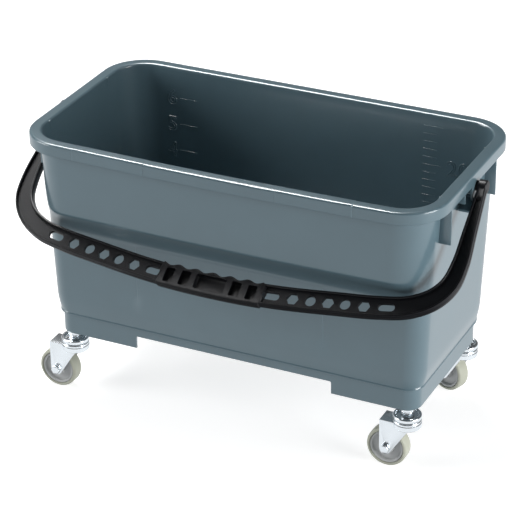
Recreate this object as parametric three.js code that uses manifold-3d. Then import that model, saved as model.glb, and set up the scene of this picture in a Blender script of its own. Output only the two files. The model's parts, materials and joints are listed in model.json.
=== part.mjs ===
// A rectangular plastic bucket on four swivel castors, with a moulded bail handle.
// Millimetres, +Z up. +X runs along the bucket's length, and the handle hangs at the
// front, towards -Y. Pieces are drawn about the floor under the middle of the rim, and the
// whole is moved at the end so that the origin is under the middle of the overall box.
import * as THREE from "three";
import { mergeVertices } from "three/addons/utils/BufferGeometryUtils.js";
import Module from "manifold-3d";

const wasm = await Module();
wasm.setup();

// ---- driving dimensions ----
const CLEAR = 0.3; // gap between pieces that touch on the real object
const OVER = 1; // how far a cutter runs past the face that it cuts
const DEG = Math.PI / 180;

// Heights of the bucket, its pivots and its plates are above the bottom of its feet.
const bucket = {
  height: 270,
  openLength: 492,
  openWidth: 246,
  wall: 3,
  openCorner: 39,
  bow: 4, // the front wall curves out this far in the middle of the rim
  endDraft: 2.3 * DEG,
  frontDraft: 0.8 * DEG,
  backDraft: 1.6 * DEG,
  step: 17, // the lower front wall stands in this far
  stepStart: 0.3, // share of a corner's turn where the step starts to climb
  stepLow: 143,
  stepHigh: 174.5,
  lowerCorner: 24,
  ridgeHeight: 27.5, // the line where the walls meet the base skirt
  ridgeInset: 5.5,
  ridgeEdge: 0.4,
  ridgeRound: 26,
  ledge: 2.2,
  gapHeight: 16.5, // of the gap in the base skirt, between the feet
  footLength: 106,
  floorThickness: 3.5,
  floorFillet: 10,
};

const rib = {
  thickness: 2.5,
  depth: 6.5,
  spacing: 115,
};

const rim = {
  flange: 15,
  skirt: 15,
  thickness: 3,
  round: 2.6,
};

const plate = {
  thickness: 2.5,
  places: [[-76, 59], [-35, 27], [64, 59]], // place along the end, depth below the rim's top
};

const pivot = {
  height: 251,
  bossRadius: 11,
  tabWidth: 23,
  tabMiddle: -1.5,
  tabDrop: 20, // below the axis
  tabThickness: 3,
  studRadius: 6,
  studLength: 8,
  stopNear: 12, // where a stop lug starts and ends, from the axis
  stopFar: 30,
  stopDepth: 6,
};

const bail = {
  rest: 37 * DEG, // below level when it hangs on its front stops
  backRest: 35 * DEG, // on its back stops, which hold it clear of the back wall
  thickness: 12,
  web: 4,
  flangeWall: 3,
  eyeRadius: 8,
  armWidth: 9.5, // at the eye
  reach: 187.5, // from the axis to the middle of the grip
  barWidth: 26,
  gripHalf: 64,
  gripWidth: 29,
  scallop: 3,
  scallopPitch: 22,
  stationStep: 13, // between the sections that the bar is drawn through
  clearance: 3, // between the rim's skirt and the inside of an arm
};

const castor = {
  spacingLength: 438,
  front: 88.5, // from the middle of the rim to the stems
  back: 93,
  yaws: { front_left: 0, front_right: 0, back_left: 12 * DEG, back_right: -20 * DEG },
  trail: 22.5,
  headRadius: 17,
  overWheel: 6, // from the tread up to the swivel head
  crownHeight: 10.4,
  cupHeight: 5.9,
  stemShows: 9.2, // between the swivel head and the foot
  recess: 2.8,
  recessRadius: 14,
  stemRadius: 8.2,
  threadRadius: 4,
  threadLength: 15,
  pinRadius: 4,
  insertWall: 1.8,
  bossWall: 4.5,
  sheet: 1.8, // the pressed steel's thickness
  legGap: 1.1, // between the wheel and a fork leg
  axleEye: 7.5, // radius of a leg's round end
  bridgeHalf: 8, // how far the legs and their bridge run past the stem and the axle
  shoulderDrop: 6, // a leg's front edge below the bridge: its shoulder, then its waist
  waistDrop: 11.5,
  waist: 3,
  rivetFlange: 2, // how far the rivet's head is wider than the pin
  rivetHeight: 2.5,
  edge: 1, // chamfer on turned edges
  axleRadius: 3,
  sleeveWall: 1.8,
  nutAcross: 10,
  nutHeight: 4.5,
  boltHead: 3.5,
  boltShows: 2, // past the nut
};

const wheel = {
  radius: 25,
  width: 17,
  tyre: 4.4, // thickness of the tread
  bead: 1, // chamfer where the tread meets the hub
  shoulder: 2, // rounding of the tread's edge, in two facets
  shoulderDrop: 0.5,
  shoulderMiddle: 1.8,
  crown: 4.5, // from the tread's side to where it runs flat
  hubWeb: 3.5, // half the thickness of the hub's web
  hubWall: 3, // of the hub's boss and its rim
  hubSlope: 0.6,
  hubInset: 2, // of the hub's rim from the tread's sides
};

// Heights above the floor, from the wheel up.
const headBottom = 2 * wheel.radius + castor.overWheel;
const headSplit = headBottom + castor.crownHeight;
const headTop = headSplit + castor.cupHeight;
const footHeight = headTop + castor.stemShows;

const CORNER_STEPS = 6;
const LONG_STEPS = 12;
const END_STEPS = 2; // on each half of an end
const ROUND = 16; // facets round a castor piece
const TYRE_ROUND = 28;
const SMALL_ROUND = 12;
const SCALLOP_STEPS = 5;
const MID_ROUND = 1 - Math.SQRT1_2; // how far in the middle of a round edge stands, in radii

// ---- materials ----
const finish = (color, roughness, metalness = 0) => ({ color, roughness, metalness });
const FINISHES = {
  bucket: finish(0x67787f, 0.42),
  handle: finish(0x232223, 0.45),
  zinc: finish(0xd3dadd, 0.25, 1),
  hub: finish(0x96989b, 0.5),
  tread: finish(0xb0b09a, 0.7),
};

// ---- solids ----
function toManifold(geometry) {
  const bare = geometry.index ? geometry.toNonIndexed() : geometry.clone();
  bare.deleteAttribute("normal");
  bare.deleteAttribute("uv");
  const merged = mergeVertices(bare, 1e-4);
  return new wasm.Manifold(new wasm.Mesh({
    numProp: 3,
    vertProperties: new Float32Array(merged.attributes.position.array),
    triVerts: new Uint32Array(merged.index.array),
  }));
}

function toGeometry(manifold) {
  const mesh = manifold.getMesh();
  const geometry = new THREE.BufferGeometry();
  geometry.setAttribute("position", new THREE.BufferAttribute(mesh.vertProperties, 3));
  geometry.setIndex(new THREE.BufferAttribute(mesh.triVerts, 1));
  return geometry;
}

function node(name, shape, look) {
  const geometry = shape.isBufferGeometry ? shape : toGeometry(shape);
  const mesh = new THREE.Mesh(geometry, new THREE.MeshStandardMaterial(FINISHES[look]));
  mesh.name = name;
  return mesh;
}

function boxBetween(low, high) {
  const size = high.map((v, i) => v - low[i]);
  const geometry = new THREE.BoxGeometry(...size);
  geometry.translate(...low.map((v, i) => v + size[i] / 2));
  return toManifold(geometry);
}

// A turned piece about Z: the profile is a list of [radius, height], closed by itself.
function turned(profile, sides = ROUND) {
  const points = [...profile, profile[0]].map(([r, z]) => new THREE.Vector2(r, z));
  const geometry = new THREE.LatheGeometry(points, sides);
  geometry.rotateX(Math.PI / 2);
  return geometry;
}

function cylinder(radius, low, high, sides = ROUND) {
  const geometry = new THREE.CylinderGeometry(radius, radius, high - low, sides);
  geometry.rotateX(Math.PI / 2);
  geometry.translate(0, 0, (low + high) / 2);
  return geometry;
}

const alongY = (geometry) => geometry.rotateX(-Math.PI / 2);
const alongX = (geometry) => geometry.rotateY(Math.PI / 2);

const polygon = (radius, sides) =>
  arcPoints(0, 0, radius, 0, (2 * Math.PI * (sides - 1)) / sides, sides - 1);

function extruded(points, low, high) {
  const shape = new THREE.Shape(points.map(([x, y]) => new THREE.Vector2(x, y)));
  const geometry = new THREE.ExtrudeGeometry(shape, { depth: high - low, bevelEnabled: false });
  geometry.translate(0, 0, low);
  return geometry;
}

function arcPoints(x, y, radius, from, to, steps) {
  const points = [];
  for (let i = 0; i <= steps; i++) {
    const angle = from + ((to - from) * i) / steps;
    points.push([x + radius * Math.cos(angle), y + radius * Math.sin(angle)]);
  }
  return points;
}

// ---- the bucket's outlines ----
const smooth = (t) => {
  const u = Math.min(1, Math.max(0, t));
  return u * u * (3 - 2 * u);
};

// A rounded rectangle with the same number of points whatever its size. Each point also
// carries "turn": 0 along the front and back, rising to 1 on the ends.
function outline(halfLength, front, back, corner, bow) {
  const points = [];
  const flatX = halfLength - corner;
  const flatFront = front - corner;
  const flatBack = back - corner;
  const bowed = (x) => bow * (1 - (x / flatX) ** 2);
  const line = (from, to, steps, turn) => {
    for (let i = 1; i < steps; i++) {
      const t = i / steps;
      const x = from[0] + (to[0] - from[0]) * t;
      const y = from[1] + (to[1] - from[1]) * t;
      points.push({ x, y: turn === 0 && y < 0 ? y - bowed(x) : y, turn });
    }
  };
  const end = (x, from, to) => {
    line([x, from], [x, 0], END_STEPS, 1);
    points.push({ x, y: 0, turn: 1 });
    line([x, 0], [x, to], END_STEPS, 1);
  };
  const bend = (x, y, from, rising) => {
    for (let i = 0; i <= CORNER_STEPS; i++) {
      const t = i / CORNER_STEPS;
      const angle = from + (t * Math.PI) / 2;
      const turn = rising ? t : 1 - t;
      points.push({ x: x + corner * Math.cos(angle), y: y + corner * Math.sin(angle), turn });
    }
  };
  line([-flatX, -front], [flatX, -front], LONG_STEPS, 0);
  bend(flatX, -flatFront, -Math.PI / 2, true);
  end(halfLength, -flatFront, flatBack);
  bend(flatX, flatBack, 0, false);
  line([flatX, back], [-flatX, back], LONG_STEPS, 0);
  bend(-flatX, flatBack, Math.PI / 2, true);
  end(-halfLength, flatBack, -flatFront);
  bend(-flatX, -flatFront, Math.PI, false);
  return points;
}

// The step in the front wall climbs round each front corner and dies out under the rim.
function stepShare(z, turn) {
  const climb = smooth((turn - bucket.stepStart) / (1 - bucket.stepStart));
  const top = bucket.height - rim.skirt;
  const high = bucket.stepHigh + (top - bucket.stepHigh) * climb * climb;
  const low = bucket.stepLow + (high - bucket.stepLow) * climb;
  return (z - low) / Math.max(high - low, 1);
}

// One ring of the wall at height z, moved out from the wall's outer face by "offset".
function wallRing(z, offset = 0) {
  const below = bucket.height - z;
  const halfLength = bucket.openLength / 2 + bucket.wall - below * Math.tan(bucket.endDraft) + offset;
  const halfWidth = bucket.openWidth / 2 + bucket.wall + offset;
  const front = halfWidth - below * Math.tan(bucket.frontDraft);
  const back = halfWidth - below * Math.tan(bucket.backDraft);
  const upperCorner = bucket.openCorner + bucket.wall + offset;
  const upper = outline(halfLength, front, back, upperCorner, bucket.bow);
  const lower = outline(halfLength, front - bucket.step, back, bucket.lowerCorner + offset, 0);
  return upper.map((p, i) => {
    const share = p.y < 0 ? smooth(stepShare(z, p.turn)) : 1;
    return [
      lower[i].x + (p.x - lower[i].x) * share,
      lower[i].y + (p.y - lower[i].y) * share,
      z,
    ];
  });
}

const placed = (ring, z) => ring.map(([x, y]) => [x, y, z]);

// Closed solid through a list of rings, with a flat cap at each end.
function loft(rings) {
  const count = rings[0].length;
  const positions = rings.flat(2);
  const index = [];
  for (let k = 0; k + 1 < rings.length; k++) {
    for (let i = 0; i < count; i++) {
      const a = k * count + i;
      const b = k * count + ((i + 1) % count);
      index.push(a, b, b + count, a, b + count, a + count);
    }
  }
  const cap = (ring, first, facesUp) => {
    const centre = positions.length / 3;
    positions.push(0, 0, ring[0][2]);
    for (let i = 0; i < count; i++) {
      const a = first + i;
      const b = first + ((i + 1) % count);
      index.push(centre, facesUp ? a : b, facesUp ? b : a);
    }
  };
  cap(rings[0], 0, false);
  cap(rings[rings.length - 1], (rings.length - 1) * count, true);
  const geometry = new THREE.BufferGeometry();
  geometry.setAttribute("position", new THREE.Float32BufferAttribute(positions, 3));
  geometry.setIndex(index);
  return toManifold(geometry);
}

// Heights where the wall is given a ring: its drafts are straight, and its step is curved.
function wallHeights() {
  const top = bucket.height - rim.skirt;
  const rise = bucket.stepHigh - bucket.stepLow;
  const slope = [0, 0.25, 0.5, 0.75, 1].map((t) => bucket.stepLow + rise * t);
  const upper = [0.25, 0.5, 0.75].map((t) => bucket.stepHigh + (top - bucket.stepHigh) * t);
  return [...slope, ...upper, top];
}

function footRings() {
  const base = wallRing(bucket.ridgeHeight, -bucket.ridgeInset);
  const rings = [placed(base, 0), placed(base, bucket.ridgeHeight)];
  for (const t of [0, 0.3, 0.65, 1]) {
    const inset = (bucket.ridgeInset - bucket.ledge) * (1 - Math.sin((t * Math.PI) / 2));
    rings.push(wallRing(bucket.ridgeHeight + bucket.ridgeEdge + bucket.ridgeRound * t, -inset));
  }
  return rings;
}

function rimRings() {
  const top = bucket.height;
  const under = top - rim.thickness;
  const out = rim.flange - bucket.wall;
  const middle = rim.round * MID_ROUND;
  return [
    wallRing(under),
    placed(wallRing(top, out - rim.thickness), under),
    placed(wallRing(top, out - rim.thickness), top - rim.skirt),
    placed(wallRing(top, out), top - rim.skirt),
    placed(wallRing(top, out), top - rim.round),
    placed(wallRing(top, out - middle), top - middle),
    placed(wallRing(top, out - rim.round), top),
  ];
}

function outerSolid() {
  return loft([...footRings(), ...wallHeights().map((z) => wallRing(z)), ...rimRings()]);
}

function cavitySolid() {
  const inset = -bucket.wall;
  const fillet = bucket.floorFillet;
  const rings = [0, 0.35, 0.7, 1].map((t) => {
    const rise = fillet * (1 - Math.cos((t * Math.PI) / 2));
    const step = inset - bucket.ridgeInset - fillet * (1 - Math.sin((t * Math.PI) / 2));
    return placed(wallRing(bucket.ridgeHeight, step), bucket.ridgeHeight + rise);
  });
  const top = bucket.height;
  const middle = rim.round * MID_ROUND;
  return loft([
    ...rings,
    wallRing(bucket.ridgeHeight + bucket.ridgeRound, inset),
    ...wallHeights().map((z) => wallRing(z, inset)),
    wallRing(top - rim.round, inset),
    placed(wallRing(top, inset + middle), top - middle),
    placed(wallRing(top, inset + rim.round), top),
    placed(wallRing(top, inset + rim.round), top + OVER),
  ]);
}

// The space inside the base skirt, which is open underneath.
const underFloor = bucket.ridgeHeight - bucket.floorThickness;

function baseHollow() {
  const ring = wallRing(bucket.ridgeHeight, -bucket.ridgeInset - bucket.wall);
  const hollow = loft([placed(ring, -OVER), placed(ring, underFloor)]);
  const low = underFloor - rib.depth;
  const half = rib.thickness / 2;
  const reach = bucket.openLength;
  const across = [-rib.spacing, 0, rib.spacing].map((x) =>
    boxBetween([x - half, -reach, low], [x + half, reach, underFloor + OVER]));
  const along = boxBetween([-reach, -half, low], [reach, half, underFloor + OVER]);
  return [...across, along].reduce((left, solid) => left.subtract(solid), hollow);
}

// ---- the bucket's details ----
const halfEnd = (z) =>
  bucket.openLength / 2 + bucket.wall - (bucket.height - z) * Math.tan(bucket.endDraft);
const skirtFace = bucket.openLength / 2 + rim.flange;
const armMiddle = skirtFace + bail.clearance + bail.armWidth / 2;

function skirtGap() {
  const inner = halfEnd(bucket.ridgeHeight) - bucket.ridgeInset - bucket.footLength;
  const reach = bucket.openWidth;
  return boxBetween([-inner, -reach, -OVER], [inner, reach, bucket.gapHeight]);
}

// The four castor places, as [name, x, y].
function castorPlaces() {
  const x = castor.spacingLength / 2;
  return [
    ["front_left", -x, -castor.front],
    ["front_right", x, -castor.front],
    ["back_left", -x, castor.back],
    ["back_right", x, castor.back],
  ];
}

const insertRadius = castor.threadRadius + CLEAR + castor.insertWall;
const insertTop = castor.threadLength + CLEAR;

// The bosses run into the corner of the skirt, so they are kept inside its outer face.
function castorBosses(outer) {
  const radius = insertRadius + CLEAR + castor.bossWall;
  const boss = toManifold(cylinder(radius, 0, underFloor + OVER));
  return castorPlaces().map(([, x, y]) => boss.translate([x, y, 0]).intersect(outer));
}

function castorBores() {
  const radius = insertRadius + CLEAR;
  return castorPlaces().map(([, x, y]) =>
    toManifold(cylinder(radius, -OVER, insertTop + CLEAR)).translate([x, y, 0]));
}

// Plates and bosses on one end (side = 1 for +X, -1 for -X), between the wall and the skirt.
function endDetails(side) {
  const sink = bucket.wall / 2;
  const under = bucket.height - rim.thickness / 2;
  const solids = plate.places.map(([y, depth]) => {
    const bottom = bucket.height - depth;
    const half = plate.thickness / 2;
    return boxBetween([halfEnd(bottom) - sink, y - half, bottom], [skirtFace, y + half, under]);
  });
  const inner = halfEnd(pivot.height - pivot.bossRadius) - sink;
  const boss = toManifold(alongX(cylinder(pivot.bossRadius, inner, skirtFace)));
  solids.push(boss.translate([0, 0, pivot.height]));
  solids.push(pivotTab(under), stopLug(1), stopLug(-1));
  return solids.map((solid) => (side > 0 ? solid : solid.mirror([1, 0, 0])));
}

// A tongue with a round end that hangs from the skirt in front of the boss.
function pivotTab(top) {
  const radius = pivot.tabWidth / 2;
  const middle = pivot.height - pivot.tabDrop + radius;
  const round = arcPoints(pivot.tabMiddle, middle, radius, Math.PI, 2 * Math.PI, 8);
  const points = [...round, [pivot.tabMiddle + radius, top], [pivot.tabMiddle - radius, top]];
  const tab = extruded(points, skirtFace - pivot.tabThickness, skirtFace);
  return toManifold(tab.rotateX(Math.PI / 2).rotateZ(Math.PI / 2));
}

// A lug beside the boss that an arm of the bail comes to rest on. front = 1 or -1.
function stopLug(front) {
  const face = -bail.thickness / 2 - CLEAR;
  const lug = boxBetween(
    [halfEnd(pivot.height) - bucket.wall, -pivot.stopFar, face - pivot.stopDepth],
    [armMiddle - bail.armWidth / 4, -pivot.stopNear, face],
  );
  const angle = (front > 0 ? bail.rest : bail.backRest) / DEG;
  const standing = lug.rotate([angle, 0, 0]).translate([0, 0, pivot.height]);
  return front > 0 ? standing : standing.mirror([0, 1, 0]);
}

function studBore(side) {
  const depth = pivot.studLength + CLEAR;
  const hole = cylinder(pivot.studRadius + CLEAR, skirtFace - depth, skirtFace + OVER);
  const bore = toManifold(alongX(hole)).translate([0, 0, pivot.height]);
  return side > 0 ? bore : bore.mirror([1, 0, 0]);
}

function bucketShell() {
  const outer = outerSolid();
  let shell = outer.subtract(cavitySolid()).subtract(baseHollow()).subtract(skirtGap());
  for (const solid of [...castorBosses(outer), ...endDetails(1), ...endDetails(-1)]) {
    shell = shell.add(solid);
  }
  for (const bore of [...castorBores(), studBore(1), studBore(-1)]) {
    shell = shell.subtract(bore);
  }
  return shell;
}

// ---- the bail, drawn flat: x along the axis, y = minus the distance from the axis ----
// Half of its middle line, from beside the grip to near an eye: how far each point is in
// from the middle of the eye, and how far it is short of the full reach.
const BAIL_LINE = [
  [193, 2.5], [118, 10.5], [68, 17], [36, 24.5], [12, 39.5], [-1.3, 59.5], [-5.2, 87.5],
  [-3.2, 127.5],
];

function bailLine() {
  const bends = BAIL_LINE.map(([inward, short]) => [armMiddle - inward, bail.reach - short]);
  const half = [[0, bail.reach], ...bends, [armMiddle, 0]];
  const right = half.map(([px, reach]) => new THREE.Vector3(px, -reach, 0));
  const left = half.slice(1).reverse().map(([px, reach]) => new THREE.Vector3(-px, -reach, 0));
  return new THREE.CatmullRomCurve3([...left, ...right], false, "centripetal");
}

// Places along the middle line, close together in the grip and further apart elsewhere.
function bailStations() {
  const line = bailLine();
  const length = line.getLength();
  const stations = [];
  let at = 0;
  while (at < length) {
    const point = line.getPointAt(at / length);
    const along = line.getTangentAt(at / length);
    stations.push({ x: point.x, y: point.y, along });
    const nearGrip = Math.abs(point.x) < bail.gripHalf + bail.flangeWall;
    at += nearGrip ? bail.scallopPitch / SCALLOP_STEPS : bail.stationStep;
  }
  stations.push({ x: armMiddle, y: 0, along: line.getTangentAt(1) });
  return stations;
}

// Half the bar's width on its inner or outer side at a station.
function bailHalfWidth(station, inner) {
  const share = Math.min(1, -station.y / (bail.reach - bail.barWidth / 2));
  const plain = (bail.armWidth + (bail.barWidth - bail.armWidth) * share) / 2;
  if (Math.abs(station.x) > bail.gripHalf || station.y > -bail.armWidth) return plain;
  if (!inner) return bail.gripWidth / 2;
  const wave = Math.cos((station.x / bail.scallopPitch) * 2 * Math.PI);
  return bail.gripWidth / 2 + (bail.scallop * (wave - 1)) / 2;
}

// The closed outline of the stretch of bar between two stations, drawn in by "inset".
function bailOutline(stations, inset) {
  const edge = (side) => stations.map((s) => {
    const offset = side * (bailHalfWidth(s, side > 0) - inset);
    return [s.x - s.along.y * offset, s.y + s.along.x * offset];
  });
  return [...edge(-1), ...edge(1).reverse()];
}

// The see-through holes on each side of the grip: distance from the middle, and kind.
const BAIL_HOLES = [
  [75, "slot"], [100.5, "hexagon"], [121.5, "round"], [142, "hexagon"],
  [162, "round"], [184, "hexagon"], [209.5, "slot"],
];
const HOLE_SIZE = { slot: 4.6, hexagon: 7.4, round: 6.4 };
const SLOT_HALF = 5;

function holeOutline(kind) {
  const radius = HOLE_SIZE[kind];
  if (kind === "hexagon") return polygon(radius, 6);
  if (kind === "round") return polygon(radius, SMALL_ROUND);
  return [
    ...arcPoints(SLOT_HALF, 0, radius, -Math.PI / 2, Math.PI / 2, 4),
    ...arcPoints(-SLOT_HALF, 0, radius, Math.PI / 2, (3 * Math.PI) / 2, 4),
  ];
}

function bailHoles() {
  const stations = bailStations();
  const holes = [];
  for (const [distance, kind] of BAIL_HOLES) {
    const geometry = extruded(holeOutline(kind), -bail.web, bail.web);
    for (const x of [-distance, distance]) {
      const near = stations.reduce((a, b) => (Math.abs(b.x - x) < Math.abs(a.x - x) ? b : a));
      const slope = near.along.y / near.along.x;
      const turn = Math.atan(slope) / DEG;
      const y = near.y + slope * (x - near.x);
      holes.push(toManifold(geometry).rotate([0, 0, turn]).translate([x, y, 0]));
    }
  }
  return holes;
}

// Pockets moulded into the grip's front face: middle and half-length of each.
const GRIP_POCKETS = [[-52, 6], [-32, 6], [0, 19], [32, 6], [52, 6]];

function gripPockets() {
  const deep = bail.web / 2;
  return GRIP_POCKETS.map(([x, half]) => {
    const width = bail.gripWidth / 2 - bail.scallop - bail.flangeWall;
    return boxBetween(
      [x - half, -bail.reach - width, deep],
      [x + half, -bail.reach + width, bail.thickness],
    );
  });
}

// The hollows between the bar's two flanges, on one face (face = 1 or -1).
function bailHollows(face) {
  const stations = bailStations();
  const outside = (s) => Math.abs(s.x) > bail.gripHalf + bail.flangeWall && s.y < -2 * bail.eyeRadius;
  const levels = [(face * bail.web) / 2, face * bail.thickness].sort((a, b) => a - b);
  return [-1, 1].map((side) => {
    const run = stations.filter((s) => outside(s) && s.x * side > 0);
    return toManifold(extruded(bailOutline(run, bail.flangeWall), ...levels));
  });
}

function bailEnds() {
  const half = bail.armWidth / 2;
  const eye = toManifold(alongX(cylinder(bail.eyeRadius, armMiddle - half, armMiddle + half)));
  const tip = skirtFace - pivot.studLength;
  const stud = toManifold(alongX(cylinder(pivot.studRadius, tip, armMiddle)));
  const end = eye.add(stud);
  return [end, end.mirror([1, 0, 0])];
}

function bailSolid() {
  const half = bail.thickness / 2;
  let solid = toManifold(extruded(bailOutline(bailStations(), 0), -half, half));
  for (const cut of [...bailHollows(1), ...bailHollows(-1), ...bailHoles(), ...gripPockets()]) {
    solid = solid.subtract(cut);
  }
  for (const end of bailEnds()) {
    solid = solid.add(end);
  }
  return solid;
}

function bailGroup() {
  const group = new THREE.Group();
  group.add(node("bail", bailSolid(), "handle"));
  group.position.set(0, 0, pivot.height);
  group.rotation.x = bail.rest;
  return group;
}

// ---- a castor, drawn with its stem on the Z axis and its wheel trailing towards -X ----
function threadedInsert() {
  const inner = castor.threadRadius + CLEAR;
  const low = footHeight + CLEAR;
  const high = footHeight + insertTop;
  return turned([
    [inner, low], [insertRadius, low], [insertRadius, high], [inner, high],
  ], SMALL_ROUND);
}

// Thread, round shoulder and riveted swivel pin, turned from one bar.
function stem() {
  const { threadRadius, stemRadius, pinRadius, recess, edge } = castor;
  const under = footHeight - CLEAR;
  const end = under + castor.threadLength;
  const seat = headTop - recess + CLEAR;
  const rivet = headBottom + castor.sheet;
  const rivetEnd = rivet - castor.rivetHeight;
  const head = pinRadius + castor.rivetFlange;
  return turned([
    [0, rivetEnd], [head - edge, rivetEnd], [head, rivetEnd + edge], [head, rivet],
    [pinRadius, rivet], [pinRadius, seat], [stemRadius, seat], [stemRadius, under],
    [threadRadius, under], [threadRadius, end - edge], [threadRadius - edge, end], [0, end],
  ]);
}

function topCup() {
  const { headRadius, recess, recessRadius, edge } = castor;
  const bore = castor.pinRadius + CLEAR;
  const low = headSplit + CLEAR;
  const floor = headTop - recess;
  return turned([
    [bore, low], [headRadius - edge, low], [headRadius, low + edge], [headRadius, headTop - edge],
    [headRadius - edge, headTop], [recessRadius + edge, headTop], [recessRadius, headTop - edge],
    [recessRadius, floor], [bore, floor],
  ]);
}

const legInside = wheel.width / 2 + castor.legGap;
const legOutside = legInside + castor.sheet;
const crownUnder = headSplit - 2 * castor.sheet;

// The dished crown that carries the balls, with its skirt turned down.
function forkCrown() {
  const { headRadius, sheet, edge } = castor;
  const bore = castor.pinRadius + CLEAR;
  return toManifold(turned([
    [bore, crownUnder], [headRadius - sheet, crownUnder], [headRadius - sheet, headBottom],
    [headRadius, headBottom], [headRadius, headSplit - edge], [headRadius - edge, headSplit],
    [bore, headSplit],
  ]));
}

function forkLeg(side) {
  const { trail, sheet, axleEye, bridgeHalf, waist } = castor;
  const points = [
    ...arcPoints(-trail, wheel.radius, axleEye, Math.PI, 1.75 * Math.PI, 6),
    [waist, crownUnder - castor.waistDrop],
    [bridgeHalf, crownUnder - castor.shoulderDrop],
    [bridgeHalf, crownUnder],
    [-trail - bridgeHalf, crownUnder],
  ];
  const leg = toManifold(alongY(extruded(points.map(([x, z]) => [x, -z]), 0, sheet)));
  return leg.translate([0, side > 0 ? legInside : -legOutside, 0]);
}

function fork() {
  const { trail, sheet, axleRadius, bridgeHalf } = castor;
  const bridge = boxBetween(
    [-trail - bridgeHalf, -legOutside, crownUnder - sheet],
    [bridgeHalf, legOutside, crownUnder],
  );
  const pinBore = toManifold(cylinder(castor.pinRadius + CLEAR, headBottom, headSplit + OVER));
  const reach = legOutside + OVER;
  const axleBore = toManifold(alongY(cylinder(axleRadius + CLEAR, -reach, reach)));
  return forkCrown().add(bridge).add(forkLeg(1)).add(forkLeg(-1))
    .subtract(pinBore)
    .subtract(axleBore.translate([-trail, 0, wheel.radius]));
}

// Pieces on the axle are drawn about the Y axis, with the axle's middle at the origin.
function axleBolt() {
  const { axleRadius, nutAcross, nutHeight, boltHead, boltShows } = castor;
  const under = -legOutside - CLEAR;
  const end = legOutside + CLEAR + nutHeight + boltShows;
  const shank = toManifold(cylinder(axleRadius, under - OVER, end));
  const head = toManifold(cylinder(nutAcross / Math.sqrt(3), under - boltHead, under, 6));
  return head.add(shank).rotate([-90, 0, 0]);
}

function axleNut() {
  const { axleRadius, nutAcross, nutHeight } = castor;
  const low = legOutside + CLEAR;
  const nut = toManifold(cylinder(nutAcross / Math.sqrt(3), low, low + nutHeight, 6));
  const bore = toManifold(cylinder(axleRadius + CLEAR, low - OVER, low + nutHeight + OVER));
  return nut.subtract(bore).rotate([-90, 0, 0]);
}

const sleeveInner = castor.axleRadius + CLEAR;
const sleeveOuter = sleeveInner + castor.sleeveWall;

function axleSleeve() {
  const half = legInside - CLEAR;
  return alongY(turned([
    [sleeveInner, -half], [sleeveOuter, -half], [sleeveOuter, half], [sleeveInner, half],
  ], SMALL_ROUND));
}

const tyreInner = wheel.radius - wheel.tyre;

// A whole profile from its upper half, listed from the outside to the inside.
const mirrored = (half) => [...half.map(([r, z]) => [r, -z]).reverse(), ...half];

function wheelHub() {
  const { hubWall, hubWeb, hubSlope, hubInset } = wheel;
  const side = wheel.width / 2;
  const bore = sleeveOuter + CLEAR;
  const outer = tyreInner - CLEAR;
  return alongY(turned(mirrored([
    [outer, side - hubInset], [outer - hubWall + hubSlope, side - hubInset],
    [outer - hubWall, hubWeb], [bore + hubWall + hubSlope, hubWeb], [bore + hubWall, side],
    [bore, side],
  ])));
}

function wheelTyre() {
  const { radius, bead, shoulder, shoulderDrop, shoulderMiddle, crown } = wheel;
  const side = wheel.width / 2;
  return alongY(turned(mirrored([
    [radius, side - crown], [radius - shoulderDrop, side - shoulderMiddle],
    [radius - shoulder, side], [tyreInner + bead, side], [tyreInner, side - bead],
  ]), TYRE_ROUND));
}

function castorGroup(name, x, y) {
  const castorParts = new THREE.Group();
  castorParts.position.set(x, y, 0);
  castorParts.add(node(`insert_${name}`, threadedInsert(), "zinc"));
  castorParts.add(node(`stem_${name}`, stem(), "zinc"));
  castorParts.add(node(`top_cup_${name}`, topCup(), "zinc"));
  const swivel = new THREE.Group();
  swivel.rotation.z = castor.yaws[name];
  swivel.add(node(`fork_${name}`, fork(), "zinc"));
  const axle = new THREE.Group();
  axle.position.set(-castor.trail, 0, wheel.radius);
  axle.add(node(`axle_bolt_${name}`, axleBolt(), "zinc"));
  axle.add(node(`axle_nut_${name}`, axleNut(), "zinc"));
  axle.add(node(`axle_sleeve_${name}`, axleSleeve(), "zinc"));
  axle.add(node(`wheel_hub_${name}`, wheelHub(), "hub"));
  axle.add(node(`wheel_tyre_${name}`, wheelTyre(), "tread"));
  swivel.add(axle);
  castorParts.add(swivel);
  return castorParts;
}

const upperParts = new THREE.Group();
upperParts.position.z = footHeight;
upperParts.add(node("bucket_shell", bucketShell(), "bucket"));
upperParts.add(bailGroup());

const group = new THREE.Group();
group.add(upperParts);
for (const place of castorPlaces()) {
  group.add(castorGroup(...place));
}
const overall = new THREE.Box3().setFromObject(group, true);
group.position.y = -(overall.min.y + overall.max.y) / 2;

export default group;
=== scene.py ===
import json
import math

import bmesh
import bpy
from bpy.props import FloatProperty, FloatVectorProperty, IntProperty, PointerProperty
from mathutils import Matrix, Vector


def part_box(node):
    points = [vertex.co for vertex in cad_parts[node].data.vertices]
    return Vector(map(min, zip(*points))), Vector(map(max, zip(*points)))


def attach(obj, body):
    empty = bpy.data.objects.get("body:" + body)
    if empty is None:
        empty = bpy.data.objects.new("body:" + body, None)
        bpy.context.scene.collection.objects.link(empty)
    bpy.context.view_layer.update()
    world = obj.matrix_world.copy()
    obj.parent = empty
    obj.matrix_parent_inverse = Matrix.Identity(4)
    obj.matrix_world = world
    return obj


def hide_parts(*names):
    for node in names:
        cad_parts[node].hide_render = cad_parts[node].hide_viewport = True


bl_info = {
    "name": "Castor Bucket",
    "version": (1, 0, 0),
    "blender": (4, 5, 0),
    "location": "View3D > Sidebar > Bucket",
    "description": "Builds a rectangular bucket on castors, with its bail handle",
    "category": "Object",
}

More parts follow.
